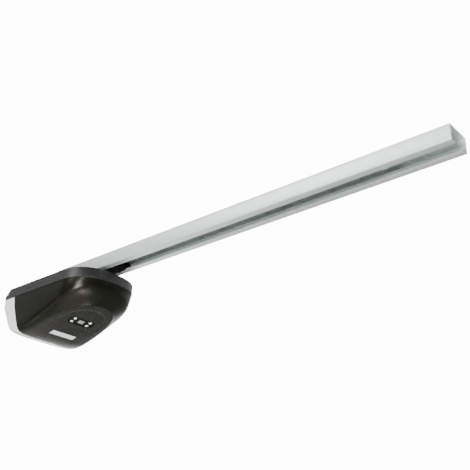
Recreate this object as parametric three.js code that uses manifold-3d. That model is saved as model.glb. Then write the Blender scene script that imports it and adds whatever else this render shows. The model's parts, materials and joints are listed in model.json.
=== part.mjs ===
// Garage door opener: a drive head hung under a C-section rail, with a toothed belt inside the rail.
// Millimetres. The origin is on the rail's top face, straight above the output shaft.
// +X runs along the rail towards the door, +Y is across it and +Z is up.
import * as THREE from 'three';
import { mergeVertices } from 'three/addons/utils/BufferGeometryUtils.js';
import Module from 'manifold-3d';

const wasm = await Module();
wasm.setup();

// ---- Driving dimensions ----
const GAP = 0.3;                 // left between pieces that touch
const RAIL = { start: -52, end: 874, half: 28, height: 30, wall: 1.6, slotHalf: 13.5, hemTop: -27, hem: 1.5 };
const LEDGE = { top: -14.4, bottom: -15.6, reach: 3 };   // belt guard inside each side of the rail
const BELT = { inner: 12, outer: 14.2, bottom: -12.3, top: -4.3, idlerX: 740 };
const HEAD = { top: -40.6, seam: -62.5, wall: 2.5, axisX: -20 };
const WORM = { y: -29.5, z: -72, root: 5.6, tip: 8.2, length: 26, teeth: 30, pitchRadius: 22.5 };
const MOTOR = { rear: -98, front: -40, radius: 26 };
const SHAFT_R = 5;
const MOTOR_SHAFT_R = 4;
const KEYPAD = { x: 12.2, slope: 0.2545, length: 66, width: 25, corner: 6, buttonX: 6.15, buttonY: 20.2 };
const CARRIAGE = { rear: 45, front: 125, top: -16.2, bottom: -26.6 };
const PLUNGER_X = 117;
const RAIL_BOLTS = [[-38, -20.5], [-38, 20.5], [28, -20.5], [28, 20.5]];
const COVER_SCREWS = [[75, -45], [75, 45], [-90, -76.5], [-90, 76.5]];
const GLAND = { x: -136, y: 54 };

// ---- Colours, roughness and metalness ----
const paint = (color, roughness, metalness = 0) => new THREE.MeshStandardMaterial({ color, roughness, metalness });
const FINISH = {
  galvanised: paint(0xcdd3d4, 0.38, 0.75),
  steel: paint(0x8d9194, 0.35, 0.9),
  aluminium: paint(0xb4b8ba, 0.4, 0.85),
  bronze: paint(0xa07a45, 0.4, 0.9),
  housing: paint(0x3f3f3e, 0.5),
  cover: paint(0x30302f, 0.45),
  black: paint(0x141414, 0.5),
  lens: paint(0xe2e3e1, 0.3),
  white: paint(0xe9e9e6, 0.45),
  label: paint(0xeceded, 0.4),
  board: paint(0x1f5b39, 0.5),
  copper: paint(0x9a5a2c, 0.4, 0.6),
  rubber: paint(0x1a1a1a, 0.8),
  gear: paint(0xd9d2bd, 0.5),
  glass: paint(0xf2f0e8, 0.15),
};

// ---- Solids ----
function toSolid(geometry) {
  const bare = geometry.index ? geometry.clone() : mergeVertices(geometry);
  bare.deleteAttribute('normal');
  bare.deleteAttribute('uv');
  const merged = mergeVertices(bare, 1e-4);
  return new wasm.Manifold(new wasm.Mesh({
    numProp: 3,
    vertProperties: new Float32Array(merged.attributes.position.array),
    triVerts: new Uint32Array(merged.index.array),
  }));
}

function toGeometry(solid) {
  const { vertProperties, triVerts, numProp } = solid.getMesh();
  const geometry = new THREE.BufferGeometry();
  const positions = new Float32Array((vertProperties.length / numProp) * 3);
  for (let i = 0; i < positions.length / 3; i++) {
    for (let k = 0; k < 3; k++) positions[3 * i + k] = vertProperties[numProp * i + k];
  }
  geometry.setAttribute('position', new THREE.BufferAttribute(positions, 3));
  geometry.setIndex(new THREE.BufferAttribute(new Uint32Array(triVerts), 1));
  geometry.computeVertexNormals();
  return geometry;
}

const cut = (base, ...tools) => tools.reduce((solid, tool) => solid.subtract(tool), base);
const join = (first, ...rest) => rest.reduce((solid, other) => solid.add(other), first);

// A box between two corners.
function block([x0, x1], [y0, y1], [z0, z1]) {
  const geometry = new THREE.BoxGeometry(x1 - x0, y1 - y0, z1 - z0);
  geometry.translate((x0 + x1) / 2, (y0 + y1) / 2, (z0 + z1) / 2);
  return toSolid(geometry);
}

// A cylinder along Z between two heights. six sides make a hexagon.
function post(radius, [z0, z1], [x, y] = [0, 0], sides = 24) {
  const geometry = new THREE.CylinderGeometry(radius, radius, z1 - z0, sides);
  geometry.rotateX(Math.PI / 2);
  geometry.translate(x, y, (z0 + z1) / 2);
  return toSolid(geometry);
}

// A cylinder along X.
function barX(radius, [x0, x1], [y, z], sides = 24) {
  const geometry = new THREE.CylinderGeometry(radius, radius, x1 - x0, sides);
  geometry.rotateZ(-Math.PI / 2);
  geometry.translate((x0 + x1) / 2, y, z);
  return toSolid(geometry);
}

// A cylinder along Y.
function barY(radius, [y0, y1], [x, z], sides = 24) {
  const geometry = new THREE.CylinderGeometry(radius, radius, y1 - y0, sides);
  geometry.translate(x, (y0 + y1) / 2, z);
  return toSolid(geometry);
}

// A flat outline in X and Y, raised between two heights.
function plate(shape, [z0, z1], steps = 1, curveSegments = 10) {
  const geometry = new THREE.ExtrudeGeometry(shape, { depth: z1 - z0, steps, curveSegments, bevelEnabled: false });
  geometry.translate(0, 0, z0);
  return toSolid(geometry);
}

// An outline in Y and Z, drawn out along X.
function alongX(points, [x0, x1]) {
  const shape = new THREE.Shape(points.map(([y, z]) => new THREE.Vector2(y, z)));
  const geometry = new THREE.ExtrudeGeometry(shape, { depth: x1 - x0, bevelEnabled: false });
  const axes = [new THREE.Vector3(0, 1, 0), new THREE.Vector3(0, 0, 1), new THREE.Vector3(1, 0, 0)];
  geometry.applyMatrix4(new THREE.Matrix4().makeBasis(...axes));
  geometry.translate(x0, 0, 0);
  return toSolid(geometry);
}

// An outline in X and Z, drawn out along Y.
function alongY(points, [y0, y1]) {
  const shape = new THREE.Shape(points.map(([x, z]) => new THREE.Vector2(x, z)));
  const geometry = new THREE.ExtrudeGeometry(shape, { depth: y1 - y0, bevelEnabled: false });
  geometry.rotateX(Math.PI / 2);
  geometry.translate(0, y1, 0);
  return toSolid(geometry);
}

function roundedRectangle(length, width, radius) {
  const [a, b] = [length / 2, width / 2];
  const shape = new THREE.Shape();
  shape.moveTo(a, b - radius);
  shape.absarc(a - radius, b - radius, radius, 0, Math.PI / 2);
  shape.absarc(-a + radius, b - radius, radius, Math.PI / 2, Math.PI);
  shape.absarc(-a + radius, -b + radius, radius, Math.PI, 1.5 * Math.PI);
  shape.absarc(a - radius, -b + radius, radius, 1.5 * Math.PI, 2 * Math.PI);
  return shape;
}

// A closed body through rings of equally many points, with a fan over each end.
function loft(rings) {
  const count = rings[0].length;
  const points = rings.flat();
  const middle = (ring) => ring.reduce((sum, p) => sum.map((v, k) => v + p[k] / count), [0, 0, 0]);
  const faces = [];
  for (let r = 0; r + 1 < rings.length; r++) {
    for (let i = 0; i < count; i++) {
      const next = (i + 1) % count;
      const [a, b] = [r * count + i, r * count + next];
      faces.push(a, a + count, b, b, a + count, b + count);
    }
  }
  points.push(middle(rings[0]), middle(rings.at(-1)));
  for (let i = 0; i < count; i++) {
    const next = (i + 1) % count;
    const last = (rings.length - 1) * count;
    faces.push(rings.length * count, i, next);
    faces.push(rings.length * count + 1, last + next, last + i);
  }
  const geometry = new THREE.BufferGeometry();
  geometry.setAttribute('position', new THREE.Float32BufferAttribute(points.flat(), 3));
  geometry.setIndex(faces);
  return toSolid(geometry);
}

// ---- The head's form ----
// Each level of the head is a closed outline: half a superellipse round the nose, met at its widest
// point by a rectangle with rounded rear corners. All levels are drawn as rays from one upright axis.
const LEVELS = {
  rim: { widest: 37, nose: 73, power: 2.5, half: 85, rear: -160.5, corner: 14 },
  seam: { widest: 37, nose: 71.5, power: 2.5, half: 83.5, rear: -160, corner: 13 },
  waist: { widest: 36, nose: 70.5, power: 2.5, half: 83.4, rear: -161, corner: 13 },
  chine: { widest: 30, nose: 73, power: 2.4, half: 82, rear: -142, corner: 16 },
  shoulder: { widest: -75, nose: 157, power: 2.25, half: 76.5, rear: -134, corner: 16 },
  keel: { widest: -60, nose: 139, power: 2.5, half: 69, rear: -124, corner: 14 },
};
const SHOULDER_LIFT = 2;
const RIB_ANGLES = [
  0, 7.5, 15, 22.5, 30, 37.5, 45, 52, 59, 66, 74, 82, 90, 100, 111, 122, 132,
  139, 142, 145, 148, 151, 154, 158, 165, 172,
];

function isInside({ widest, nose, power, half, rear, corner }, x, y, inset) {
  const across = Math.abs(y);
  if (x > widest) {
    return ((x - widest) / (nose - inset)) ** power + (across / (half - inset)) ** power < 1;
  }
  const radius = corner - inset;
  const intoCorner = rear + corner - x;
  const outToSide = across - (half - corner);
  if (intoCorner < 0) return across < half - inset;
  if (outToSide < 0) return x > rear + inset;
  return Math.hypot(intoCorner, outToSide) < radius;
}

function reach(level, angle, inset) {
  let [low, high] = [1, 400];
  for (let i = 0; i < 40; i++) {
    const mid = (low + high) / 2;
    if (isInside(level, HEAD.axisX + mid * Math.cos(angle), mid * Math.sin(angle), inset)) low = mid;
    else high = mid;
  }
  return low;
}

// The height of the waist, which rises towards the nose.
const waistHeight = (x) => -80 + 12 * Math.min(1, Math.max(0, (x - 40) / 50));

// The height of the underside: a plane that rises to the nose, curls up behind and is crowned across.
function underside(x, y) {
  const crown = 1.5 * (y / 79) ** 2;
  const behind = Math.max(0, -60 - x);
  const underLens = Math.max(0, -94 - x);
  return -125.9 + KEYPAD.slope * (x - KEYPAD.x) + 0.0036 * behind ** 2 + 0.13 * underLens + crown;
}

// One ring of the head's surface. height is a number, or a function of x and y.
function ring(level, height, inset = 0, scale = 1) {
  const right = [...RIB_ANGLES, 180];
  const left = RIB_ANGLES.slice(1).map((angle) => 360 - angle).reverse();
  return [...right, ...left].map((degrees) => {
    const angle = (degrees * Math.PI) / 180;
    const r = reach(level, angle, inset) * scale;
    const [x, y] = [HEAD.axisX + r * Math.cos(angle), r * Math.sin(angle)];
    return [x, y, typeof height === 'number' ? height : height(x, y)];
  });
}

const between = (a, b, t) => a.map((p, i) => p.map((v, k) => v + (b[i][k] - v) * t));

// The solid form of the lower half of the head, drawn in by inset, from the height top downwards.
function headForm(inset, top) {
  const above = (lift) => (x, y) => underside(x, y) + inset + lift;
  const chineHeight = (x, y) => above(Math.max(10, 7 + 0.09 * (x + 32)))(x, y);
  const waist = ring(LEVELS.waist, waistHeight, inset);
  const chine = ring(LEVELS.chine, chineHeight, inset);
  return loft([
    ring(LEVELS.seam, top, inset),
    ring(LEVELS.seam, HEAD.seam - GAP, inset),
    waist,
    between(waist, chine, 0.5),
    chine,
    ring(LEVELS.shoulder, above(SHOULDER_LIFT), inset),
    ring(LEVELS.keel, above(0), inset),
    ring(LEVELS.keel, above(0), inset, 0.6),
    ring(LEVELS.keel, above(0), inset, 0.25),
  ]);
}

// The slanted joint between the dark cover and the lamp lens, as a line in X and Z.
const JOINT_LINE = [[-118.6, -40], [-118.6, -62], [-113.8, -87], [-92.6, -147], [-88, -170]];
const behindJoint = (shift) => alongY(
  [...JOINT_LINE.map(([x, z]) => [x + shift, z]), [-200, -170], [-200, -40]],
  [-120, 120],
);

// Moves a solid from the keypad's own frame, with Z into the head, to its place on the underside.
function onKeypad(solid) {
  const turn = new THREE.Matrix4().makeRotationY(-Math.atan(KEYPAD.slope));
  turn.setPosition(KEYPAD.x, 0, underside(KEYPAD.x, 0));
  return solid.transform(turn.elements);
}

// ---- Rail ----
function rail() {
  const { half, height, wall, slotHalf, hemTop, hem } = RAIL;
  const inner = half - wall;
  const groove = (z) => [[half, z + 0.5], [half - 0.6, z], [half, z - 0.5]];
  const side = [
    [half - 2, 0], [half - 0.6, -0.6], [half, -2],
    ...groove(-4.5), ...groove(-25.1),
    [half, -height + 1.5], [half - 1.5, -height],
    [slotHalf, -height], [slotHalf, hemTop], [slotHalf + hem, hemTop], [slotHalf + hem, -height + wall],
    [inner, -height + wall], [inner, LEDGE.bottom], [inner - LEDGE.reach, LEDGE.bottom],
    [inner - LEDGE.reach, LEDGE.top], [inner, LEDGE.top], [inner, -wall],
  ];
  const profile = [...side, ...side.map(([y, z]) => [-y, z]).reverse()];
  const boltHoles = RAIL_BOLTS.map((at) => post(2.8, [-31, -26], at, 16));
  const screwHoles = ANCHOR_SCREWS.map((at) => post(3.9, [-3, 1], at, 16));
  return cut(alongX(profile, [RAIL.start, RAIL.end]), ...boltHoles, ...screwHoles);
}

function saddle() {
  const body = block([-50, 40], [-30, 30], [HEAD.top + GAP, -RAIL.height - GAP]);
  return cut(body, post(9, [-50, -20]), ...RAIL_BOLTS.map((at) => post(2.8, [-50, -20], at, 16)));
}

// A hexagon-headed bolt whose head lies on the rail's lip and whose end is screwed into the base plate.
const railBolt = (at) => join(post(5, [-28.1, -24.6], at, 6), post(2.4, [-46.5, -28], at, 12));

// ---- Head shells ----
function upperHousing() {
  const outer = loft([ring(LEVELS.rim, HEAD.top, 1.2), ring(LEVELS.rim, HEAD.top - 1.2), ring(LEVELS.rim, HEAD.seam)]);
  const hollow = loft([ring(LEVELS.rim, HEAD.top - HEAD.wall, HEAD.wall), ring(LEVELS.rim, HEAD.seam - 2, HEAD.wall)]);
  const through = [-60, -30];
  return cut(
    outer, hollow, post(12, through), post(6.6, through, [GLAND.x, GLAND.y]),
    ...RAIL_BOLTS.map((at) => post(2.8, through, at, 16)),
    ...COVER_SCREWS.map((at) => post(2.2, through, at, 12)),
  );
}

function lowerCover() {
  const outer = headForm(0, HEAD.seam - GAP);
  const shell = cut(outer, headForm(HEAD.wall, HEAD.seam + 5));
  const clip = headForm(1.4, HEAD.top - HEAD.wall - GAP);
  const posts = COVER_SCREWS.map((at) => cut(post(5, [-100, -44], at, 16), post(2.1, [-74, -40], at, 12)).intersect(clip));
  const opening = plate(roundedRectangle(KEYPAD.width, KEYPAD.length, KEYPAD.corner), [-12, 8], 1, 4);
  return cut(join(shell, ...posts), onKeypad(opening), behindJoint(0));
}

function lampLens() {
  const shell = cut(headForm(0, HEAD.seam - GAP), headForm(2.8, HEAD.seam + 5));
  return shell.intersect(behindJoint(-GAP));
}

function lampReflector() {
  const band = cut(behindJoint(-4.5), behindJoint(-6.5));
  return headForm(3.4, HEAD.top - HEAD.wall - GAP).intersect(band);
}

const LAMP = { x: -134, z: -80 };

function lampBulb() {
  const outline = [[0, -30], [5.5, -29], [8.8, -25], [10, -19], [10, 12], [8, 18], [8, 21.7], [0, 21.7]];
  const geometry = new THREE.LatheGeometry(outline.map(([r, y]) => new THREE.Vector2(r, y)), 18);
  geometry.translate(LAMP.x, 0, LAMP.z);
  return toSolid(geometry);
}

const lampSocket = () => join(
  barY(9.5, [22, 48], [LAMP.x, LAMP.z], 20),
  block([LAMP.x - 7, LAMP.x + 7], [30, 44], [-72, HEAD.top - HEAD.wall - GAP]),
);

const coverScrew = (at) => join(post(4, [-40.3, -38], at, 16), post(1.8, [-70, -40.2], at, 12));

function cableGland() {
  const at = [GLAND.x, GLAND.y];
  const nut = join(post(9.5, [-40.3, -35.5], at, 6), post(7.4, [-35.6, -31], at, 20));
  return cut(join(nut, post(6.2, [-49, -40.2], at, 20)), post(3.6, [-60, -20], at, 16));
}

const basePlate = () => cut(
  block([-106, 50], [-62, 66], [-45.4, -43.4]),
  post(12, [-60, -30]), ...RAIL_BOLTS.map((at) => post(2.8, [-60, -30], at, 16)),
);

// ---- Gearbox and motor ----
function gearboxOutline(radius, reachX, farY) {
  return (z) => join(post(radius, z, [0, 0], 40), block([-reachX, reachX], [-farY, -12], z));
}

function gearboxCase() {
  const body = join(gearboxOutline(31, 36, 44)([-84, -60]), post(12, [-90, -83]));
  return cut(
    body, post(27, [-80.5, -50], [0, 0], 40),
    barX(10.5, [-33, 33], [WORM.y, WORM.z]), block([-33, 33], [-40, -18.9], [WORM.z, -50]),
    barX(MOTOR_SHAFT_R + 0.5, [-60, 60], [WORM.y, WORM.z]), post(8.3, [-100, -70]),
  );
}

const gearboxLid = () => cut(
  join(gearboxOutline(31, 36, 44)([-59.7, -55.7]), post(13, [-56, -45.7])),
  post(8.3, [-70, -40]),
);

const bush = (z) => cut(post(8, z), post(SHAFT_R + GAP, [-100, -30]));

// The worm's thread is a trapezoid swept along a helix round the motor shaft's axis.
function worm() {
  const pitch = (2 * Math.PI * WORM.pitchRadius) / WORM.teeth;
  const stepsPerTurn = 12;
  const turns = WORM.length / pitch + 2;
  const section = [[-1.3, WORM.root - 0.5], [1.3, WORM.root - 0.5], [0.55, WORM.tip], [-0.55, WORM.tip]];
  const rings = [];
  for (let i = 0; i <= Math.ceil(turns * stepsPerTurn); i++) {
    const turn = i / stepsPerTurn - turns / 2;
    const angle = 2 * Math.PI * turn;
    rings.push(section.map(([dx, r]) => [pitch * turn + dx, r * Math.cos(angle), r * Math.sin(angle)]));
  }
  const ends = [-WORM.length / 2, WORM.length / 2];
  const thread = loft(rings.reverse()).intersect(barX(WORM.tip + 1, ends, [0, 0]));
  const core = cut(join(barX(WORM.root, ends, [0, 0], 12), thread), barX(MOTOR_SHAFT_R + GAP, [-60, 60], [0, 0], 16));
  return core.translate([0, WORM.y, WORM.z]);
}

// The wheel's teeth lean by the worm's lead angle, and a gap between two of them faces the worm.
function wormWheel() {
  const { teeth, pitchRadius } = WORM;
  const [root, tip, height] = [pitchRadius - 1.9, pitchRadius + 1.2, 12];
  const lead = pitchRadius / teeth / 7;
  const shape = new THREE.Shape();
  for (let i = 0; i < teeth; i++) {
    const middle = -Math.PI / 2 + ((i + 0.5) / teeth) * 2 * Math.PI;
    for (const [r, offset] of [[root, -1.1], [tip, -0.5], [tip, 0.5], [root, 1.1]]) {
      const angle = middle + offset / r;
      const [x, y] = [r * Math.cos(angle), r * Math.sin(angle)];
      if (i === 0 && offset === -1.1) shape.moveTo(x, y);
      else shape.lineTo(x, y);
    }
  }
  const geometry = new THREE.ExtrudeGeometry(shape, { depth: height, steps: 2, bevelEnabled: false });
  const place = geometry.attributes.position;
  for (let i = 0; i < place.count; i++) {
    const [x, y, z] = [place.getX(i), place.getY(i), place.getZ(i) - height / 2];
    const lean = (z * lead) / pitchRadius;
    place.setXYZ(i, x * Math.cos(lean) - y * Math.sin(lean), x * Math.sin(lean) + y * Math.cos(lean), z + WORM.z);
  }
  const hub = post(11, [WORM.z + 5, WORM.z + 9]);
  return cut(join(toSolid(geometry), hub), post(SHAFT_R + GAP, [-100, -40]));
}

function motorCan() {
  const axis = [WORM.y, WORM.z];
  const body = join(barX(MOTOR.radius, [MOTOR.rear, MOTOR.front], axis, 36), barX(12, [MOTOR.front - 1, -36 - GAP], axis));
  return cut(body, barX(MOTOR_SHAFT_R + 0.5, [-94, 0], axis));
}

const motorEndCap = () => join(
  barX(24, [MOTOR.rear - 4, MOTOR.rear - GAP], [WORM.y, WORM.z], 30),
  barX(9, [MOTOR.rear - 7, MOTOR.rear - 3.5], [WORM.y, WORM.z]),
);

const transformerCore = () => cut(
  block([-100, -42], [20, 50], [-96, -48]),
  block([-90, -80], [0, 70], [-88, -56]), block([-62, -52], [0, 70], [-88, -56]),
);
const transformerCoil = () => cut(
  block([-90 + GAP, -52 - GAP], [12, 58], [-88 + GAP, -56 - GAP]),
  block([-80 - GAP, -62 + GAP], [20 - GAP, 50 + GAP], [-100, -40]),
);

// ---- Control board and keypad, in the keypad's own frame ----
const BUTTONS = {
  button_front_left: [KEYPAD.buttonX, -KEYPAD.buttonY],
  button_front_right: [KEYPAD.buttonX, KEYPAD.buttonY],
  button_rear_left: [-KEYPAD.buttonX, -KEYPAD.buttonY],
  button_rear_right: [-KEYPAD.buttonX, KEYPAD.buttonY],
};
const BUTTON_R = 3.4;
const BOARD_Z = [9, 10.6];

const controlBoard = () => onKeypad(block([-80, 25], [-40, 40], BOARD_Z));
const onBoard = (x, y, height) => onKeypad(block(x, y, [BOARD_Z[1] + GAP, BOARD_Z[1] + GAP + height]));
const relay = (y) => onBoard([-60, -40], [y - 8, y + 8], 16);
const boardCapacitor = () => onKeypad(post(9, [BOARD_Z[1] + GAP, 30], [-20, 25]));
const terminalBlock = () => onBoard([-76, -66], [-28, 28], 12);

// A small board with a switch behind each button and a cut-out for the display.
function switchBoard() {
  const top = BOARD_Z[0] - GAP;
  const board = cut(block([-11, 11], [-30, 30], [top - 1.5, top]), block([-6.3, 6.3], [-7.3, 7.3], [0, 20]));
  const switches = Object.values(BUTTONS).map(([x, y]) => block([x - 3, x + 3], [y - 3, y + 3], [5, top - 1.4]));
  return onKeypad(join(board, ...switches));
}

const DISPLAY = { length: 11, width: 14 };
const displayModule = () => onKeypad(block([-6, 6], [-7, 7], [3, BOARD_Z[0] - GAP]));
const displayWindow = () => onKeypad(
  plate(roundedRectangle(DISPLAY.length - 2 * GAP, DISPLAY.width - 2 * GAP, 1), [0.9, 2.3], 1, 3),
);

function keypadBezel() {
  const outline = roundedRectangle(KEYPAD.width - 2 * GAP, KEYPAD.length - 2 * GAP, KEYPAD.corner - GAP);
  const holes = Object.values(BUTTONS).map((at) => post(BUTTON_R + GAP, [-2, 6], at));
  const window = plate(roundedRectangle(DISPLAY.length, DISPLAY.width, 1.2), [-2, 6], 1, 3);
  return onKeypad(cut(plate(outline, [0.8, 2.4], 1, 4), ...holes, window));
}

const button = (at) => onKeypad(join(post(BUTTON_R, [0.3, 3], at), post(BUTTON_R + 1.3, [2.7, 3.9], at)));

function ratingLabel() {
  const middle = -45.5 - KEYPAD.x;
  const along = middle / Math.cos(Math.atan(KEYPAD.slope));
  return onKeypad(block([along - 7, along + 7], [-30, 30.5], [-0.9, -0.4]));
}

// ---- Belt drive in the rail ----
function stadium(radius) {
  const shape = new THREE.Shape();
  shape.moveTo(0, -radius);
  shape.absarc(BELT.idlerX, 0, radius, -Math.PI / 2, Math.PI / 2);
  shape.absarc(0, 0, radius, Math.PI / 2, 1.5 * Math.PI);
  return shape;
}

function driveBelt() {
  const wide = [BELT.bottom, BELT.top];
  return cut(plate(stadium(BELT.outer), wide, 1, 16), plate(stadium(BELT.inner), [wide[0] - 1, wide[1] + 1], 1, 16));
}

const outputShaft = () => post(SHAFT_R, [-88.5, -2.6]);

function drivePulley() {
  const teeth = 10;
  const shape = new THREE.Shape();
  for (let i = 0; i < teeth; i++) {
    for (const [r, part] of [[9.6, -0.36], [11.6, -0.22], [11.6, 0.22], [9.6, 0.36]]) {
      const angle = ((i + part) / teeth) * 2 * Math.PI;
      if (i === 0 && part === -0.36) shape.moveTo(r * Math.cos(angle), r * Math.sin(angle));
      else shape.lineTo(r * Math.cos(angle), r * Math.sin(angle));
    }
  }
  const barrel = plate(shape, [BELT.bottom - 0.4, BELT.top + 0.4]);
  const flanges = [post(15.5, [-13.6, -12.6], [0, 0], 32), post(15.5, [-4, -3], [0, 0], 32), post(8, [-17, -13.5])];
  return cut(join(barrel, ...flanges), post(SHAFT_R + GAP, [-40, 10]));
}

function idlerPulley() {
  const at = [BELT.idlerX, 0];
  const drum = join(post(11.6, [-13.2, -3.4], at, 32), post(14.5, [-13.2, -12.6], at, 32), post(14.5, [-4, -3.4], at, 32));
  return cut(drum, post(8.3, [-20, 0], at));
}

function idlerBearing() {
  const at = [BELT.idlerX, 0];
  return cut(post(8, [-13, -3.6], at), post(4 + GAP, [-20, 0], at));
}

function tensionFork() {
  const body = join(
    block([732, 768], [-10, 10], [-3.1, -1.9]),
    block([732, 768], [-6, 6], [-14.8, -13.5]),
    block([764, 768], [-10, 10], [-14.8, -1.9]),
  );
  return cut(body, post(4 + GAP, [-20, 5], [BELT.idlerX, 0]), barX(3.2, [755, 775], [0, -8.3]));
}

const idlerAxle = () => join(
  post(4, [-15.3, -2], [BELT.idlerX, 0]),
  post(6, [-17.3, -15.1], [BELT.idlerX, 0], 6),
);

const ANCHOR_X = 789;
const ANCHOR_SCREWS = [[ANCHOR_X, -6.3], [ANCHOR_X, 6.3]];
const tensionAnchor = () => cut(
  block([ANCHOR_X - 5, ANCHOR_X + 5], [-9, 9], [-14.6, -1.9]),
  barX(3.2, [700, 850], [0, -8.3]), ...ANCHOR_SCREWS.map((at) => post(1.9, [-9.5, 2], at, 12)),
);
const anchorScrew = (at) => join(post(3.4, [-1.7, -0.2], at, 16), post(1.6, [-9, -1.6], at, 12));
const tensionScrew = () => join(barX(5, [757.5, 763.7], [0, -8.3], 6), barX(2.9, [763, 804], [0, -8.3]));
const tensionNut = () => cut(barX(5.5, [794.3, 799.3], [0, -8.3], 6), barX(3.2, [780, 810], [0, -8.3]));

// ---- Carriage ----
function carriageBody() {
  const { rear, front, top, bottom } = CARRIAGE;
  const slab = block([rear, front], [-25.6, 25.6], [bottom, top]);
  const neck = block([rear + 3, front], [-11.5, 11.5], [-31.5, bottom + 1]);
  const lighten = block([rear + 8, front - 20], [8, 20], [top - 6, top + 1]);
  return cut(join(slab, neck), lighten, post(4.4, [-40, 0], [PLUNGER_X, 0]));
}

const carriageGlide = (y) => block([CARRIAGE.rear + 3, CARRIAGE.front - 3], [y - 4.5, y + 4.5], [-28.1, -26.9]);

const beltClamp = () => join(
  block([70, 100], [-18, -8], [-15.9, -13.2]),
  block([70, 100], [-18, -14.9], [-14, -3.2]),
  block([70, 100], [-11.3, -8], [-14, -3.2]),
);

const releasePlunger = () => join(
  post(4, [-34, -15], [PLUNGER_X, 0], 20),
  post(5.5, [-37, -33.5], [PLUNGER_X, 0], 20),
);

// ---- The assembly ----
const opener = new THREE.Group();

function add(name, solid, material) {
  const mesh = new THREE.Mesh(toGeometry(solid), material);
  mesh.name = name;
  opener.add(mesh);
}

add('rail', rail(), FINISH.galvanised);
add('rail_saddle', saddle(), FINISH.aluminium);
RAIL_BOLTS.forEach((at, i) => add(`rail_bolt_${i + 1}`, railBolt(at), FINISH.steel));
add('upper_housing', upperHousing(), FINISH.housing);
add('lower_cover', lowerCover(), FINISH.cover);
COVER_SCREWS.forEach((at, i) => add(`cover_screw_${i + 1}`, coverScrew(at), FINISH.steel));
add('cable_gland', cableGland(), FINISH.black);
add('base_plate', basePlate(), FINISH.galvanised);
add('lamp_lens', lampLens(), FINISH.lens);
add('lamp_reflector', lampReflector(), FINISH.white);
add('lamp_socket', lampSocket(), FINISH.white);
add('lamp_bulb', lampBulb(), FINISH.glass);
add('gearbox_case', gearboxCase(), FINISH.aluminium);
add('gearbox_lid', gearboxLid(), FINISH.aluminium);
add('upper_bush', bush([-59.4, -46]), FINISH.bronze);
add('lower_bush', bush([-89.7, -80.8]), FINISH.bronze);
add('motor_can', motorCan(), FINISH.steel);
add('motor_end_cap', motorEndCap(), FINISH.black);
add('motor_shaft', barX(MOTOR_SHAFT_R, [-92, 35], [WORM.y, WORM.z]), FINISH.steel);
add('worm', worm(), FINISH.steel);
add('worm_wheel', wormWheel(), FINISH.gear);
add('output_shaft', outputShaft(), FINISH.steel);
add('drive_pulley', drivePulley(), FINISH.steel);
add('drive_belt', driveBelt(), FINISH.rubber);
add('idler_pulley', idlerPulley(), FINISH.white);
add('idler_bearing', idlerBearing(), FINISH.steel);
add('idler_axle', idlerAxle(), FINISH.steel);
add('tension_fork', tensionFork(), FINISH.galvanised);
add('tension_anchor', tensionAnchor(), FINISH.galvanised);
ANCHOR_SCREWS.forEach((at, i) => add(`anchor_screw_${i + 1}`, anchorScrew(at), FINISH.steel));
add('tension_screw', tensionScrew(), FINISH.steel);
add('tension_nut', tensionNut(), FINISH.steel);
add('carriage_body', carriageBody(), FINISH.black);
add('carriage_glide_left', carriageGlide(-20.5), FINISH.white);
add('carriage_glide_right', carriageGlide(20.5), FINISH.white);
add('belt_clamp', beltClamp(), FINISH.black);
add('release_plunger', releasePlunger(), FINISH.black);
add('transformer_core', transformerCore(), FINISH.steel);
add('transformer_coil', transformerCoil(), FINISH.copper);
add('control_board', controlBoard(), FINISH.board);
add('relay_open', relay(-20), FINISH.black);
add('relay_close', relay(4), FINISH.black);
add('board_capacitor', boardCapacitor(), FINISH.black);
add('terminal_block', terminalBlock(), FINISH.board);
add('switch_board', switchBoard(), FINISH.board);
add('display_module', displayModule(), FINISH.black);
add('display_window', displayWindow(), FINISH.lens);
add('keypad_bezel', keypadBezel(), FINISH.black);
for (const [name, at] of Object.entries(BUTTONS)) add(name, button(at), FINISH.white);
add('rating_label', ratingLabel(), FINISH.label);

export default opener;
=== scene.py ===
# Garage door opener: a dark drive head under a C-section rail, seen from below and from the door side.
# Lengths in the head, keypad and rail code are millimetres, scaled to metres when a mesh is made.
# The camera, the lights and the floor are in metres.
import json
import math

import bmesh
import bpy
import numpy as np
from mathutils import Matrix, Vector


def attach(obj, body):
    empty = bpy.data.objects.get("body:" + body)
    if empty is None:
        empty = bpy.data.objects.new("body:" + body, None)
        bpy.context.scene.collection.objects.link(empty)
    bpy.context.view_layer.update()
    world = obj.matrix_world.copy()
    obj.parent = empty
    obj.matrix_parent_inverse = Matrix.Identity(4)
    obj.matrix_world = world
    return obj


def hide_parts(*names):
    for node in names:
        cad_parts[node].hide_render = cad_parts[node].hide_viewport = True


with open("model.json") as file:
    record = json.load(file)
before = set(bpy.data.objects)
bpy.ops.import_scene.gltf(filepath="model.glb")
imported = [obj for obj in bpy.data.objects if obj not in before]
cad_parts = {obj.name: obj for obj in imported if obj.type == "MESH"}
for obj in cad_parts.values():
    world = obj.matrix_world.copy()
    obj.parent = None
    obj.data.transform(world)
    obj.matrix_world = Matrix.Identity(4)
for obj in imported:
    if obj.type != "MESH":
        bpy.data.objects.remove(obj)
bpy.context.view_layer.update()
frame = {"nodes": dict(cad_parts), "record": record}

MM = 0.001

# ---- Camera ----
CAMERA_PLACE = (1.2605, -0.9858, -0.6654)
CAMERA_RIGHT = Vector((0.76920, 0.63889, 0.01235))
CAMERA_UP = Vector((0.26835, -0.34049, 0.90114))
CAMERA_FORWARD = Vector((-0.57993, 0.68984, 0.43335))
FOCAL_LENGTH_MM, SENSOR_WIDTH_MM = 59.64, 36
NEAREST, FARTHEST = 0.05, 60


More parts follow.
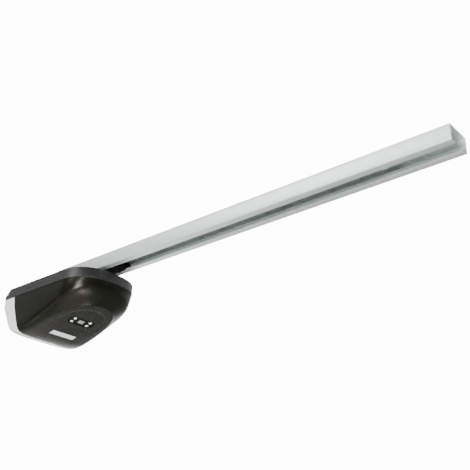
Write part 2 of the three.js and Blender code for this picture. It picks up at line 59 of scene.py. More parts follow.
def add_camera():
    data = bpy.data.cameras.new("camera")
    data.lens = FOCAL_LENGTH_MM
    data.sensor_width = SENSOR_WIDTH_MM
    data.clip_start = NEAREST
    data.clip_end = FARTHEST
    camera = bpy.data.objects.new("camera", data)
    bpy.context.scene.collection.objects.link(camera)
    turn = Matrix((CAMERA_RIGHT, CAMERA_UP, -CAMERA_FORWARD)).transposed().to_4x4()
    camera.matrix_world = Matrix.Translation(CAMERA_PLACE) @ turn
    bpy.context.scene.camera = camera


add_camera()


# ---- Materials ----
# Depths of bump are in metres. A noise's scale is in cells per metre.
def start_material(name):
    material = bpy.data.materials.new(name)
    material.use_nodes = True
    return material, material.node_tree, material.node_tree.nodes["Principled BSDF"]


def noise(tree, scale, detail, stretch=(1, 1, 1), kind="ShaderNodeTexNoise"):
    place = tree.nodes.new("ShaderNodeTexCoord")
    mapping = tree.nodes.new("ShaderNodeMapping")
    mapping.inputs["Scale"].default_value = stretch
    texture = tree.nodes.new(kind)
    texture.inputs["Scale"].default_value = scale
    if "Detail" in texture.inputs:
        texture.inputs["Detail"].default_value = detail
    tree.links.new(place.outputs["Object"], mapping.inputs["Vector"])
    tree.links.new(mapping.outputs["Vector"], texture.inputs["Vector"])
    return texture.outputs[0]


def ramp(tree, value, low, high):
    """A colour from low to high over the middle of a noise's range."""
    node = tree.nodes.new("ShaderNodeValToRGB")
    node.color_ramp.elements[0].position = 0.35
    node.color_ramp.elements[0].color = (*low, 1)
    node.color_ramp.elements[1].position = 0.65
    node.color_ramp.elements[1].color = (*high, 1)
    tree.links.new(value, node.inputs["Fac"])
    return node.outputs["Color"]


def map_range(tree, value, from_range, to_range):
    node = tree.nodes.new("ShaderNodeMapRange")
    node.inputs["From Min"].default_value, node.inputs["From Max"].default_value = from_range
    node.inputs["To Min"].default_value, node.inputs["To Max"].default_value = to_range
    tree.links.new(value, node.inputs["Value"])
    return node


def vary_roughness(tree, shader, value, low, high):
    """The roughness from low to high over the middle of a noise's range."""
    node = map_range(tree, value, (0.3, 0.7), (low, high))
    tree.links.new(node.outputs["Result"], shader.inputs["Roughness"])


def bump(tree, shader, value, strength, depth):
    node = tree.nodes.new("ShaderNodeBump")
    node.inputs["Strength"].default_value = strength
    node.inputs["Distance"].default_value = depth
    tree.links.new(value, node.inputs["Height"])
    tree.links.new(node.outputs["Normal"], shader.inputs["Normal"])


def plastic(name, color, roughness, grain=1400, depth=0.00006, specular=0.5, vary=0.12, tint=(1, 1, 1)):
    """Moulded plastic: faint patches of tone, uneven gloss from handling, and a fine grain."""
    material, tree, shader = start_material(name)
    patches = noise(tree, scale=22, detail=4)
    low = tuple(c * (1 - vary) for c in color)
    high = tuple(c * (1 + vary) for c in color)
    tree.links.new(ramp(tree, patches, low, high), shader.inputs["Base Color"])
    handling = noise(tree, scale=60, detail=6)
    vary_roughness(tree, shader, handling, roughness - 0.05, roughness + 0.07)
    shader.inputs["Specular IOR Level"].default_value = specular
    shader.inputs["Specular Tint"].default_value = (*tint, 1)
    bump(tree, shader, noise(tree, scale=grain, detail=2), strength=0.07, depth=depth)
    return material


def metal(name, color, roughness, grain=900, depth=0.00004):
    """Plain metal with fine streaks in its colour, gloss and surface."""
    material, tree, shader = start_material(name)
    streaks = noise(tree, scale=grain, detail=3)
    low = tuple(c * 0.93 for c in color)
    high = tuple(min(1, c * 1.04) for c in color)
    tree.links.new(ramp(tree, streaks, low, high), shader.inputs["Base Color"])
    vary_roughness(tree, shader, streaks, roughness - 0.05, roughness + 0.08)
    shader.inputs["Metallic"].default_value = 0.9
    bump(tree, shader, streaks, strength=0.25, depth=depth)
    return material


def zinc(name):
    """Zinc-coated sheet: lines drawn along X, and spangle in the gloss."""
    material, tree, shader = start_material(name)
    spangle = noise(tree, scale=130, detail=2, stretch=(0.5, 1, 1), kind="ShaderNodeTexVoronoi")
    drawn = noise(tree, scale=700, detail=3, stretch=(0.015, 1, 1))
    tree.links.new(ramp(tree, drawn, (0.64, 0.695, 0.68), (0.74, 0.795, 0.78)), shader.inputs["Base Color"])
    vary_roughness(tree, shader, spangle, 0.36, 0.44)
    shader.inputs["Metallic"].default_value = 0.8
    bump(tree, shader, drawn, strength=0.2, depth=0.00003)
    return material


def milky(name):
    """Cloudy plastic that light passes into."""
    material, tree, shader = start_material(name)
    cloud = noise(tree, scale=30, detail=3)
    tree.links.new(ramp(tree, cloud, (0.70, 0.71, 0.70), (0.78, 0.79, 0.775)), shader.inputs["Base Color"])
    shader.inputs["Roughness"].default_value = 0.32
    shader.inputs["Subsurface Weight"].default_value = 0.35
    shader.inputs["Subsurface Radius"].default_value = (0.012, 0.012, 0.011)
    shader.inputs["Subsurface Scale"].default_value = 1.0
    bump(tree, shader, noise(tree, scale=500, detail=2), strength=0.15, depth=0.00005)
    return material


def windings(name):
    """Enamelled wire in layers along Z."""
    material, tree, shader = start_material(name)
    wave = noise(tree, scale=1100, detail=1, stretch=(0.02, 0.02, 1))
    tree.links.new(ramp(tree, wave, (0.28, 0.10, 0.04), (0.55, 0.24, 0.09)), shader.inputs["Base Color"])
    shader.inputs["Metallic"].default_value = 0.6
    shader.inputs["Roughness"].default_value = 0.4
    bump(tree, shader, wave, strength=0.6, depth=0.0002)
    return material


def frosted(name):
    """Frosted glass."""
    material, tree, shader = start_material(name)
    cloud = noise(tree, scale=80, detail=3)
    tree.links.new(ramp(tree, cloud, (0.86, 0.85, 0.80), (0.92, 0.91, 0.87)), shader.inputs["Base Color"])
    shader.inputs["Transmission Weight"].default_value = 0.35
    shader.inputs["Roughness"].default_value = 0.3
    return material


SLOT_MATERIALS = {
    "galvanised": zinc("zinc_sheet"),
    "steel": metal("plain_steel", (0.45, 0.46, 0.47), 0.34),
    "aluminium": metal("cast_aluminium", (0.58, 0.60, 0.61), 0.45, depth=0.0001, grain=1500),
    "bronze": metal("sintered_bronze", (0.42, 0.27, 0.12), 0.5, grain=2000),
    "housing": plastic("rim_plastic", (0.012, 0.012, 0.0115), 0.4, specular=0.44),
    "cover": plastic("cover_plastic", (0.0036, 0.0036, 0.0026), 0.3, specular=0.2, tint=(1, 0.98, 0.82)),
    "black": plastic("black_plastic", (0.003, 0.003, 0.003), 0.55, specular=0.07),
    "lens": milky("milky_lens"),
    "display": plastic("display_grey", (0.25, 0.262, 0.255), 0.22, grain=300, vary=0.05),
    "white": plastic("white_plastic", (0.84, 0.84, 0.82), 0.35, vary=0.04),
    "label": plastic("label_film", (0.72, 0.73, 0.74), 0.3, grain=2500, vary=0.03),
    "board": plastic("circuit_board", (0.02, 0.13, 0.06), 0.35, grain=600, vary=0.25),
    "copper": windings("copper_winding"),
    "rubber": plastic("belt_rubber", (0.012, 0.012, 0.012), 0.7, grain=2500, depth=0.0001),
    "gear": plastic("gear_nylon", (0.62, 0.57, 0.44), 0.45, vary=0.06),
    "bulb": frosted("frosted_glass"),
}
node_slots = {part["node"]: part["material_slot"] for part in frame["record"]["subparts"]}
for node_name, node in frame["nodes"].items():
    node.data.materials.clear()
    node.data.materials.append(SLOT_MATERIALS[node_slots[node_name]])

# ---- Meshes ----
SHARP_FROM = math.radians(32)  # faces that meet at more than this keep a sharp edge


def add_mesh(name, points, faces, slot, body="root", stands_for=()):
    """A piece from points in millimetres. With no slot it is a tool, or a body that is finished later."""
    mesh = bpy.data.meshes.new(name)
    mesh.from_pydata([tuple(c * MM for c in p) for p in points], [], faces)
    piece = bpy.data.objects.new(name, mesh)
    bpy.context.scene.collection.objects.link(piece)
    finish_piece(piece, slot, body, stands_for)
    return piece


def finish_piece(piece, slot, body="root", stands_for=()):
    smooth(piece)
    if slot is None:
        return
    piece.data.materials.clear()
    piece.data.materials.append(SLOT_MATERIALS[slot])
    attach(piece, body)
    if stands_for:
        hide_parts(*stands_for)


def smooth(piece):
    form = bmesh.new()
    form.from_mesh(piece.data)
    bmesh.ops.recalc_face_normals(form, faces=form.faces)
    for face in form.faces:
        face.smooth = True
    for edge in form.edges:
        edge.smooth = edge.is_manifold and edge.calc_face_angle(0) < SHARP_FROM
    form.to_mesh(piece.data)
    form.free()


def ring_solid(rings):
    """Points and faces of a closed body through rings of equally many points."""
    count = len(rings[0])
    points = [tuple(p) for each in rings for p in each]
    faces = []
    for r in range(len(rings) - 1):
        for i in range(count):
            j = (i + 1) % count
            faces.append((r * count + i, r * count + j, (r + 1) * count + j, (r + 1) * count + i))
    for first, ring in ((0, rings[0]), ((len(rings) - 1) * count, rings[-1])):
        points.append(tuple(np.mean(ring, axis=0)))
        faces += [(len(points) - 1, first + i, first + (i + 1) % count) for i in range(count)]
    return points, faces


def combine(target, tool, operation):
    """Applies a boolean to target and removes the tool."""
    modifier = target.modifiers.new("combine", "BOOLEAN")
    modifier.operation = operation
    modifier.object = tool
    modifier.solver = "EXACT"
    bpy.context.view_layer.update()
    evaluated = target.evaluated_get(bpy.context.evaluated_depsgraph_get())
    mesh = bpy.data.meshes.new_from_object(evaluated)
    target.modifiers.clear()
    target.data = mesh
    bpy.data.objects.remove(tool)


def cut(target, points, faces):
    """Takes a closed body away from target."""
    combine(target, add_mesh("tool", points, faces, None), "DIFFERENCE")


def prism(flat, low, high, axis="Z"):
    """Points and faces of an outline drawn out along Z, or along X or Y."""
    count = len(flat)
    order = {
        "Z": lambda a, b, c: (a, b, c),
        "Y": lambda a, b, c: (a, c, b),
        "X": lambda a, b, c: (c, a, b),
    }[axis]
    points = [order(a, b, c) for c in (low, high) for a, b in flat]
    faces = [tuple(range(count)), tuple(range(count, 2 * count))]
    faces += [(i, (i + 1) % count, count + (i + 1) % count, count + i) for i in range(count)]
    return points, faces


def circle(radius, x=0.0, y=0.0, count=32):
    steps = [2 * math.pi * i / count for i in range(count)]
    return [(x + radius * math.cos(a), y + radius * math.sin(a)) for a in steps]


def rounded(corners, radius, steps=4):
    """The outline with each corner rounded, as far as its neighbours leave room."""
    result = []
    count = len(corners)
    for i in range(count):
        before, corner, after = (Vector(corners[(i + k) % count]) for k in (-1, 0, 1))
        to_before, to_after = before - corner, after - corner
        reach = min(radius, 0.45 * to_before.length, 0.45 * to_after.length)
        start = corner + to_before.normalized() * reach
        end = corner + to_after.normalized() * reach
        for k in range(steps + 1):
            t = k / steps
            result.append(tuple((1 - t) ** 2 * start + 2 * t * (1 - t) * corner + t ** 2 * end))
    return result


# ---- The head's form ----
AXIS_X = -20.0  # an upright axis inside the head, from which every outline is seen whole
RIM_TOP, SEAM_Z, GAP, WALL = -40.6, -62.5, 0.3, 2.5
KEYPAD_X, KEYPAD_Z, SLOPE = 12.2, -125.9, 0.2545
RIBS = 288
ANGLES = np.arange(RIBS) * 2 * math.pi / RIBS

# Each level's outline: x where the nose starts, the nose's length, the power of its curve, half the width,
# x of the rear, radius of the rear corners. The levels run from the top of the head down to its keel.
RIM_CROWN = (37, 72.5, 2.5, 84.8, -157, 26)
RIM = (37, 73, 2.5, 85, -160.5, 14)
SEAM = (37, 71.5, 2.5, 83.5, -160, 13)
WAIST = (36, 70.5, 2.5, 83.4, -161, 13)
CHINE = (30, 73, 2.4, 82, -142, 16)
SHOULDER = (-75, 158, 2.35, 77.5, -134, 16)
KEEL = (-60, 140, 2.6, 69.5, -124, 14)

# The waist rises from behind the nose to its tip. The other lower levels are measured up from the underside.
WAIST_Z, WAIST_RISE = -80.0, 12
NOSE_FROM, NOSE_OVER = 40, 50
CHINE_LIFT_LEAST, CHINE_LIFT, CHINE_LIFT_SLOPE, CHINE_LIFT_X = 10, 7, 0.09, -32
SHOULDER_LIFT = 2.0

# The underside slopes with the keypad, bends up towards the rear and more so under the lens, and curls up
# at the sides.
REAR_BEND_X, REAR_BEND = -60, 0.0036
LENS_BEND_X, LENS_SLOPE = -94, 0.13
CURL, CURL_HALF = 4, 79


def is_inside(level, x, y, inset):
    widest, nose, power, half, rear, corner = level
    across = np.abs(y)
    ahead = np.maximum(x - widest, 0) / (nose - inset)
    in_nose = ahead ** power + (across / (half - inset)) ** power < 1
    into_corner = rear + corner - x
    out_to_side = across - (half - corner)
    in_corner = np.hypot(np.maximum(into_corner, 0), np.maximum(out_to_side, 0)) < corner - inset
    return np.where(x > widest, in_nose, in_corner & (across < half - inset) & (x > rear + inset))


def outline(level, inset=0.0, scale=1.0):
    """The level's outline, drawn in by inset and then scaled about the axis. Each rib is found by halving."""
    low, high = np.full(RIBS, 1.0), np.full(RIBS, 400.0)
    for _ in range(40):
        mid = (low + high) / 2
        inside = is_inside(level, AXIS_X + mid * np.cos(ANGLES), mid * np.sin(ANGLES), inset)
        low, high = np.where(inside, mid, low), np.where(inside, high, mid)
    return np.stack([AXIS_X + scale * low * np.cos(ANGLES), scale * low * np.sin(ANGLES)], axis=1)


def towards_axis(flat, distance):
    """The outline moved towards the upright axis by a distance."""
    arm = flat - np.array([AXIS_X, 0])
    length = np.linalg.norm(arm, axis=1, keepdims=True)
    return flat - arm / length * distance


def curl(y):
    return CURL * (y / CURL_HALF) ** 4


def underside(x, y):
    behind = np.maximum(0, REAR_BEND_X - x)
    under_lens = np.maximum(0, LENS_BEND_X - x)
    sloped = KEYPAD_Z + SLOPE * (x - KEYPAD_X)
    return sloped + REAR_BEND * behind ** 2 + LENS_SLOPE * under_lens + curl(y)


def at_height(flat, z):
    return np.column_stack([flat, np.broadcast_to(z, len(flat))])


def blend_keys(keys, softness, steps=7):
    """Rings through the key rings, with each key's corner rounded by its softness, from 0 to 0.5."""
    rings = [keys[0]]
    for i in range(1, len(keys) - 1):
        start = keys[i] + (keys[i - 1] - keys[i]) * softness[i]
        end = keys[i] + (keys[i + 1] - keys[i]) * softness[i]
        rings += [
            (1 - t) ** 2 * start + 2 * t * (1 - t) * keys[i] + t ** 2 * end
            for t in np.linspace(0, 1, steps)
        ]
    rings.append(keys[-1])
    return rings


def lower_form(inset, top, cap_steps, dish):
    """The closed form of the lower half of the head, drawn in by inset. dish adds the arc round the keypad."""
    flats = {level: outline(level, inset) for level in (SEAM, WAIST, CHINE, SHOULDER, KEEL)}
    chine_xy, shoulder_xy, keel_xy = (flats[level] for level in (CHINE, SHOULDER, KEEL))
    rising = CHINE_LIFT + CHINE_LIFT_SLOPE * (chine_xy[:, 0] - CHINE_LIFT_X)
    chine_lift = np.maximum(CHINE_LIFT_LEAST, rising)
    at_nose = np.clip((chine_xy[:, :1] - NOSE_FROM) / NOSE_OVER, 0, 1)
    waist_z = WAIST_Z + WAIST_RISE * at_nose[:, 0]
    inner = outline(KEEL, inset, 0.96)
    keys = [
        at_height(flats[SEAM], top),
        at_height(flats[SEAM], SEAM_Z - GAP - 1.0),
        at_height(flats[WAIST], waist_z),
        at_height(chine_xy, underside(*chine_xy.T) + inset + chine_lift),
        at_height(shoulder_xy, underside(*shoulder_xy.T) + inset + SHOULDER_LIFT),
        at_height(keel_xy, underside(*keel_xy.T) + inset),
        at_height(inner, underside(*inner.T) + inset),
    ]
    rings = blend_keys(keys, [0, 0.05, 0.15 + 0.25 * at_nose, 0.3 + 0.2 * at_nose, 0.3, 0.3, 0])
    for scale in np.linspace(0.93, 0.06, cap_steps):
        flat = outline(KEEL, inset, scale)
        z = underside(*flat.T) + inset
        if dish:
            z = z + pad_step(*flat.T)
        rings.append(at_height(flat, z))
    return rings


def pad_step(x, y):
    """The shallow arc in front of the keypad: the surface sinks a little inside it, and evens out behind."""
    depth, edge_from, edge_over = 0.55, 0.92, 0.12
    away = (np.abs(x + 10) / 72) ** 2.3 + (np.abs(y) / 53) ** 2.3
    inside = 1 - np.clip((away - edge_from) / edge_over, 0, 1)
    return depth * inside * np.clip((x + 30) / 35, 0, 1)


def lower_shell(name):
    """The lower half of the head as one hollow shell, with an edge broken back at the seam."""
    rings = lower_form(0, SEAM_Z - GAP, cap_steps=44, dish=True)
    lip = rings[0].copy()
    lip[:, :2] = towards_axis(lip[:, :2], 0.7)
    shell = add_mesh(name, *ring_solid([lip] + rings), None)
    cut(shell, *ring_solid(lower_form(WALL, SEAM_Z + 6, cap_steps=8, dish=False)))
    return shell


# The joint between cover and lens, seen from the side, as x and z.
JOINT_LINE = [(-118.6, -40), (-118.6, -62), (-113.8, -87), (-92.6, -147), (-88, -170)]


def behind_joint(shift):
    line = [(x + shift, z) for x, z in JOINT_LINE]
    return prism(line + [(-200, -170), (-200, -40)], -120, 120, "Y")


KEYPAD_TURN = Matrix.Rotation(-math.atan(SLOPE), 4, "Y")
KEYPAD_PLACE = Matrix.Translation((KEYPAD_X, 0, KEYPAD_Z)) @ KEYPAD_TURN


def on_keypad(points):
    return [tuple(KEYPAD_PLACE @ Vector(p)) for p in points]


def cut_on_keypad(target, flat, low, high):
    points, faces = prism(flat, low, high)
    cut(target, on_keypad(points), faces)


def keypad_outline(grow=0.0):
    half_x, half_y, notch = 12.5 + grow, 33 + grow, 7
    corners = [
        (half_x, -half_y + notch), (half_x, half_y - notch),
        (half_x - notch, half_y), (-half_x + notch, half_y),
        (-half_x, half_y - notch), (-half_x, -half_y + notch),
        (-half_x + notch, -half_y), (half_x - notch, -half_y),
    ]
    return rounded(corners, 3, 5)


def head_shells():
    cover = lower_shell("cover_shell")
    cut_on_keypad(cover, keypad_outline(), -12, 8)
    lens = cover.copy()
    lens.data = cover.data.copy()
    lens.name = "lens_shell"
    bpy.context.scene.collection.objects.link(lens)
    cut(cover, *behind_joint(0))
    combine(lens, add_mesh("tool", *behind_joint(-GAP), None), "INTERSECT")
    finish_piece(cover, "cover", stands_for=["lower_cover"])
    finish_piece(lens, "lens", stands_for=["lamp_lens"])


# Places in x and y, and the radius of the hole that each takes in the rim.
RAIL_BOLTS, RAIL_BOLT_HOLE = [(-38, -20.5), (-38, 20.5), (28, -20.5), (28, 20.5)], 2.8
COVER_SCREWS, COVER_SCREW_HOLE = [(75, -45), (75, 45), (-90, -76.5), (-90, 76.5)], 2.2
GLAND, GLAND_HOLE = (-136, 54), 6.6
SHAFT_HOLE = 12
RIM_FULL_Z = -55  # from here down the rim keeps one outline


def rim_shell():
    edge = 1.2
    turns = [math.radians(a) for a in np.linspace(90, 0, 7)]
    rings = [
        at_height(outline(RIM_CROWN, edge - edge * math.cos(a)), RIM_TOP - edge + edge * math.sin(a))
        for a in turns
    ]
    rings.append(at_height(outline(RIM, 0.35), RIM_FULL_Z))
    rings += [at_height(outline(RIM, 0.1), SEAM_Z + 0.7), at_height(outline(RIM, 0.6), SEAM_Z)]
    shell = add_mesh("rim_shell", *ring_solid(rings), None)
    hollow = [at_height(outline(RIM_CROWN, WALL), RIM_TOP - WALL)]
    hollow += [at_height(outline(RIM, WALL), z) for z in (RIM_FULL_Z - WALL, SEAM_Z - 2)]
    cut(shell, *ring_solid(hollow))
    holes = [circle(SHAFT_HOLE)] + [circle(RAIL_BOLT_HOLE, *at, 20) for at in RAIL_BOLTS]
    holes += [circle(COVER_SCREW_HOLE, *at, 20) for at in COVER_SCREWS] + [circle(GLAND_HOLE, *GLAND)]
    for hole in holes:
        cut(shell, *prism(hole, -60, -30))
    finish_piece(shell, "housing", stands_for=["upper_housing"])


head_shells()
rim_shell()


# ---- Keypad, display and label ----
# These are drawn flat on the keypad's plane, with z up from the underside into the head.
def slab(flat, levels):
    """Rings of one outline at several insets and heights: a plate with shaped edges."""
    middle = Vector(np.mean(flat, axis=0))
    rings = []
    for inset, z in levels:
        ring = []
        for p in flat:
            arm = Vector(p) - middle
            ring.append((*(middle + arm * (1 - inset / arm.length)), z))
        rings.append(np.array(ring))
    return ring_solid(rings)


BUTTONS = {
    "button_front_left": (6.15, -20.2),
    "button_front_right": (6.15, 20.2),
    "button_rear_left": (-6.15, -20.2),
    "button_rear_right": (-6.15, 20.2),
}
BUTTON_R, BUTTON_PLAY = 3.4, 0.3

# Edge profiles as inset and height, from the back of the piece round to its face.
PLATE_PROFILE = [(0.4, 2.4), (0, 2.2), (0, 0.9), (0.5, 0.5), (1.2, 0.5), (1.8, 1.0), (8, 1.0)]
PANE_PROFILE = [(0.2, 2.3), (0, 2.1), (0, 1.1), (0.3, 0.8), (1.0, 0.75), (3.0, 0.7)]
CAP_PROFILE = [(-1.3, 3.9), (-1.3, 2.7), (0, 2.7), (0, 0.9), (0.25, 0.6), (0.7, 0.4), (1.4, 0.3), (2.4, 0.36)]


def rectangle(length, width):
    a, b = length / 2, width / 2
    return rounded([(a, -b), (a, b), (-a, b), (-a, -b)], 1.0)


def keypad():
    points, faces = slab(keypad_outline(-0.3), PLATE_PROFILE)
    bezel = add_mesh("keypad_plate", on_keypad(points), faces, None)
    for at in BUTTONS.values():
        cut_on_keypad(bezel, circle(BUTTON_R + BUTTON_PLAY, *at, 40), -2, 6)
    cut_on_keypad(bezel, rectangle(11, 14), -2, 6)
    finish_piece(bezel, "black", stands_for=["keypad_bezel"])
    points, faces = slab(rectangle(10.4, 13.4), PANE_PROFILE)
    add_mesh("display_pane", on_keypad(points), faces, "display", stands_for=["display_window"])
    for name, at in BUTTONS.items():
        points, faces = slab(circle(BUTTON_R, *at, 40), CAP_PROFILE)
        add_mesh(name.replace("button", "key_cap"), on_keypad(points), faces, "white", name + "_body", [name])


def label():
    """A blank film that follows the underside: rows of four points across its length, on two faces."""
    steps = 24
    half_length = 7.0
    middle = (-45.5 - KEYPAD_X) / math.cos(math.atan(SLOPE))
    offsets = (-half_length, -half_length / 3, half_length / 3, half_length)
    rows = [(middle + dx, y) for y in np.linspace(-30, 30.5, steps) for dx in offsets]
    points = [(x, y, lift + curl(y)) for lift in (-0.55, -0.9) for x, y in rows]
    half = len(rows)
    faces = []
    for r in range(steps - 1):
        for c in range(3):
            a = 4 * r + c
            faces.append((a, a + 1, a + 5, a + 4))
            faces.append((half + a, half + a + 4, half + a + 5, half + a + 1))
    rim = [*range(4), *[4 * r + 3 for r in range(1, steps)]]
    rim += [4 * (steps - 1) + c for c in (2, 1)] + [4 * r for r in range(steps - 1, 0, -1)]
    faces += [(a, b, half + b, half + a) for a, b in zip(rim, rim[1:] + rim[:1])]
    add_mesh("blank_label", on_keypad(points), faces, "label", stands_for=["rating_label"])


keypad()
label()

# ---- Rail ----
RAIL_START, RAIL_END, HALF, HEIGHT, SHEET = -52, 874, 28, 30, 1.6
SLOT_HALF, LIP_TOP = 13.5, -27
GUARD_TOP, GUARD_FOOT, GUARD_REACH = -14.4, -15.6, 3
GROOVES = (-4.5, -25.1)
ANCHOR_SCREWS, ANCHOR_SCREW_HOLE = [(789, -6.3), (789, 6.3)], 3.9


def rail_piece():
    """The C section with pressed grooves in its sides, in-turned lips and a ledge that guards the belt."""
    inner = HALF - SHEET
    groove = [(0, 0.5), (-0.6, 0), (0, -0.5)]
    side = [(HALF - 2, 0), (HALF - 0.6, -0.6), (HALF, -2)]
    for z in GROOVES:
        side += [(HALF + dy, z + dz) for dy, dz in groove]
    side += [
        (HALF, -HEIGHT + 1.5), (HALF - 1.5, -HEIGHT),
        (SLOT_HALF, -HEIGHT), (SLOT_HALF, LIP_TOP),
        (SLOT_HALF + 1.5, LIP_TOP), (SLOT_HALF + 1.5, -HEIGHT + SHEET), (inner, -HEIGHT + SHEET),
        (inner, GUARD_FOOT), (inner - GUARD_REACH, GUARD_FOOT),
        (inner - GUARD_REACH, GUARD_TOP), (inner, GUARD_TOP), (inner, -SHEET),
    ]
    profile = rounded(side + [(-y, z) for y, z in reversed(side)], 0.45, 3)
    rail = add_mesh("rail_section", *prism(profile, RAIL_START, RAIL_END, "X"), None)
    for at in RAIL_BOLTS:
        cut(rail, *prism(circle(RAIL_BOLT_HOLE, *at, 20), -31, -26))
    for at in ANCHOR_SCREWS:
        cut(rail, *prism(circle(ANCHOR_SCREW_HOLE, *at, 24), -3, 1))
    finish_piece(rail, "galvanised", stands_for=["rail"])


def toothed_belt():
    """The belt's loop, with teeth on its inner side."""
    far, band, back, tip = 740.0, 12.9, 14.2, 12.0
    low, high = -12.3, -4.3
    bend = math.pi * band
    total = 2 * far + 2 * bend
    teeth = 195
    pitch = total / teeth
    # Each point of a tooth: how far along the pitch it lies, and its radius.
    tooth = ((0.0, band), (0.25, band), (0.38, tip), (0.75, tip), (0.88, band))

    def place(s, r):
        s %= total
        if s < far:
            return s, -r
        if s < far + bend:
            a = (s - far) / band - math.pi / 2
            return far + r * math.cos(a), r * math.sin(a)
        if s < 2 * far + bend:
            return 2 * far + bend - s, r
        a = (s - 2 * far - bend) / band + math.pi / 2
        return r * math.cos(a), r * math.sin(a)

    stations = [((i + part) * pitch, r) for i in range(teeth) for part, r in tooth]
    points = []
    for s, r in stations:
        for radius, z in ((r, low), (back, low), (back, high), (r, high)):
            points.append((*place(s, radius), z))
    count = len(stations)
    faces = []
    for i in range(count):
        j = (i + 1) % count
        for k in range(4):
            m = (k + 1) % 4
            faces.append((4 * i + k, 4 * i + m, 4 * j + m, 4 * j + k))
    add_mesh("toothed_belt", points, faces, "rubber", stands_for=["drive_belt"])


rail_piece()
toothed_belt()

# ---- Carried-over pieces: soft edges ----
WELD_DISTANCE = 0.00002
EDGE_WIDTHS = {
    "carriage_body": 0.8, "carriage_glide_left": 0.4, "carriage_glide_right": 0.4, "belt_clamp": 0.5,
    "release_plunger": 0.6, "rail_saddle": 0.8, "cable_gland": 0.5, "tension_fork": 0.3,
    "tension_anchor": 0.4, "tension_nut": 0.3, "tension_screw": 0.3, "idler_axle": 0.3,
    "gearbox_case": 0.8, "gearbox_lid": 0.6, "motor_can": 0.8, "motor_end_cap": 0.8,
    "terminal_block": 0.4, "relay_open": 0.5, "relay_close": 0.5, "transformer_core": 0.4,
    "transformer_coil": 0.8, "base_plate": 0.3,
}
for screw in [f"rail_bolt_{i}" for i in range(1, 5)] + [f"cover_screw_{i}" for i in range(1, 5)]:
    EDGE_WIDTHS[screw] = 0.4
for node_name, width in EDGE_WIDTHS.items():
    node = frame["nodes"][node_name]
    weld = node.modifiers.new("weld", "WELD")
    weld.merge_threshold = WELD_DISTANCE
    edges = node.modifiers.new("edges", "BEVEL")
    edges.width = width * MM
    edges.segments = 2
    edges.limit_method = "ANGLE"
    edges.angle_limit = math.radians(40)
    edges.use_clamp_overlap = True

# ---- Floor, light and surroundings ----
FLOOR_Z, FLOOR_HALF = -1.35, 12.0


def floor():
    mesh = bpy.data.meshes.new("floor")
    corners = [(x * FLOOR_HALF, y * FLOOR_HALF, FLOOR_Z) for x, y in ((-1, -1), (1, -1), (1, 1), (-1, 1))]
    mesh.from_pydata(corners, [], [(0, 1, 2, 3)])
    piece = bpy.data.objects.new("floor", mesh)
    bpy.context.scene.collection.objects.link(piece)
    material, tree, shader = start_material("pale_floor")
    cloud = noise(tree, scale=3, detail=2)
    tree.links.new(ramp(tree, cloud, (0.62, 0.62, 0.61), (0.66, 0.66, 0.65)), shader.inputs["Base Color"])
    shader.inputs["Roughness"].default_value = 0.8
    mesh.materials.append(material)


def area_light(name, place, target, size, power, spread=180):
    """A round light in metres and watts. A narrow spread, in degrees, makes it brighter along its aim."""
    data = bpy.data.lights.new(name, "AREA")
    data.shape = "DISK"
    data.size = size
    data.energy = power
    data.spread = math.radians(spread)
    light = bpy.data.objects.new(name, data)
    bpy.context.scene.collection.objects.link(light)
    light.location = place
    aim = Vector(target) - Vector(place)
    light.rotation_euler = aim.to_track_quat("-Z", "Y").to_euler()


GLOW_TOWARDS = (-0.716, 0.69, -0.1)
STUDIO_STRENGTH, BACKDROP_STRENGTH = 1.1, 14.0


def towards(tree, place, direction, from_range, to_range):
    """A value that eases through to_range as a ray turns towards the direction."""
    dot = tree.nodes.new("ShaderNodeVectorMath")
    dot.operation = "DOT_PRODUCT"
    dot.inputs[1].default_value = direction
    tree.links.new(place.outputs["Generated"], dot.inputs[0])
    ease = map_range(tree, dot.outputs["Value"], from_range, to_range)
    ease.interpolation_type = "SMOOTHSTEP"
    return ease.outputs["Result"]


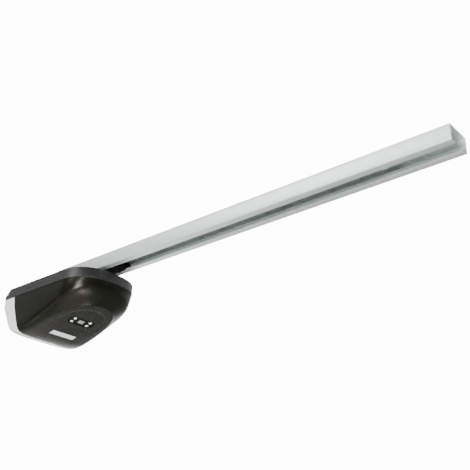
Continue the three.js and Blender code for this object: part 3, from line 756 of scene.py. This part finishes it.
def surroundings():
    """A white backdrop to the camera. As light, the half behind the object is bright, with a glow in it."""
    world = bpy.data.worlds.new("studio")
    bpy.context.scene.world = world
    world.use_nodes = True
    tree = world.node_tree
    tree.nodes.clear()
    place = tree.nodes.new("ShaderNodeTexCoord")
    total = tree.nodes.new("ShaderNodeMath")
    total.operation = "ADD"
    tree.links.new(towards(tree, place, CAMERA_FORWARD, (-0.15, 0.5), (0.02, 1.0)), total.inputs[0])
    tree.links.new(towards(tree, place, GLOW_TOWARDS, (0.86, 0.97), (0.0, 1.8)), total.inputs[1])
    studio = tree.nodes.new("ShaderNodeBackground")
    tree.links.new(total.outputs["Value"], studio.inputs["Color"])
    studio.inputs["Strength"].default_value = STUDIO_STRENGTH
    white = tree.nodes.new("ShaderNodeBackground")
    white.inputs["Color"].default_value = (1, 1, 1, 1)
    white.inputs["Strength"].default_value = BACKDROP_STRENGTH
    path = tree.nodes.new("ShaderNodeLightPath")
    mix = tree.nodes.new("ShaderNodeMixShader")
    output = tree.nodes.new("ShaderNodeOutputWorld")
    tree.links.new(path.outputs["Is Camera Ray"], mix.inputs[0])
    tree.links.new(studio.outputs[0], mix.inputs[1])
    tree.links.new(white.outputs[0], mix.inputs[2])
    tree.links.new(mix.outputs[0], output.inputs[0])


floor()
surroundings()
area_light("key", (1.2, -2.1, -0.6), (0.2, 0, -0.05), 0.6, 100)
area_light("below_near", (0.0, -0.3, -1.25), (0.0, 0, -0.1), 0.8, 0.25, 60)
area_light("below_rear", (-0.9, 0.3, -1.2), (0.0, 0, -0.1), 1.0, 0.7, 80)
area_light("below_nose", (0.68, -0.33, -1.2), (0.03, -0.06, -0.09), 0.55, 0.8, 50)
area_light("chine", (-0.9, -1.35, -0.75), (0.05, 0, -0.1), 0.9, 0.7, 90)
area_light("side", (-0.1, -1.4, 0.85), (0.6, 0, 0), 1.1, 20)
area_light("back", (-1.8, 1.5, -0.7), (0, 0, -0.13), 0.9, 1.6, 90)
area_light("back_far", (-1.3, 2.0, -0.6), (0, 0, -0.13), 0.9, 0.6, 90)
